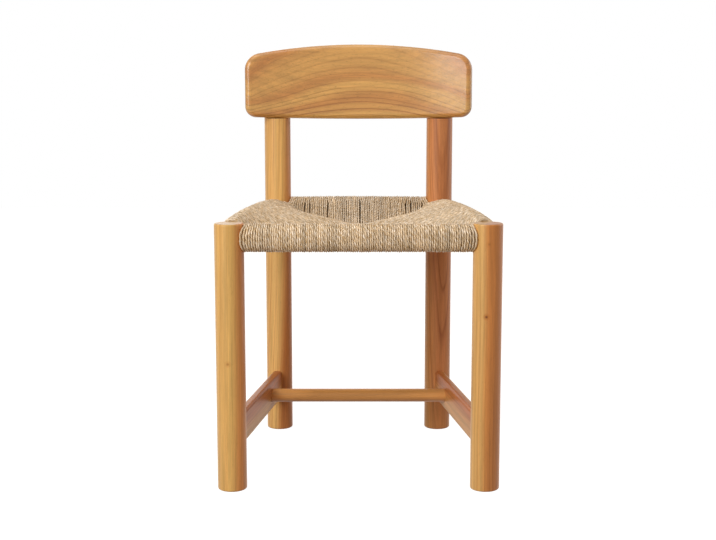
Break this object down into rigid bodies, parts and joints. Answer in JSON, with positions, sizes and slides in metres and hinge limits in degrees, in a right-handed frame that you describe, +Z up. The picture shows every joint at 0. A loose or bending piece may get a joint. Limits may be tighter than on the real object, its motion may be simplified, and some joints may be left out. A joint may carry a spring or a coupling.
{
  "type": "rush seat chair",
  "caption": "Wooden side chair with thick round legs, a wide curved backrest plank, flat side stretchers with a round cross stretcher, and a dished woven rush seat.",
  "frame": {"origin": "on the floor, in the middle between the four legs", "axes": "+Z up, -Y towards the front of the seat, +X to the right as seen from the front"},
  "size_m": [0.483, 0.445, 0.754],
  "materials": {
    "honey_pine": "satin lacquer",
    "bare_pine": "bare",
    "rush_cord": "twisted, matte",
    "packing_card": "matte",
    "screw_steel": "zinc plated"
  },
  "bodies": {
    "root": {"front_leg_left": "honey_pine", "front_leg_right": "honey_pine", "rear_leg_left": "honey_pine", "rear_leg_right": "honey_pine", "left_side_stretcher": "honey_pine", "right_side_stretcher": "honey_pine", "cross_stretcher": "honey_pine", "backrest": "honey_pine", "backrest_plugs": "honey_pine", "front_seat_rail": "bare_pine", "rear_seat_rail": "bare_pine", "left_seat_rail": "bare_pine", "right_seat_rail": "bare_pine", "front_rush": "rush_cord", "rear_rush": "rush_cord", "left_rush": "rush_cord", "right_rush": "rush_cord", "front_packing": "packing_card", "rear_packing": "packing_card", "left_packing": "packing_card", "right_packing": "packing_card", "backrest_screws": "screw_steel"}
  },
  "joints": []
}
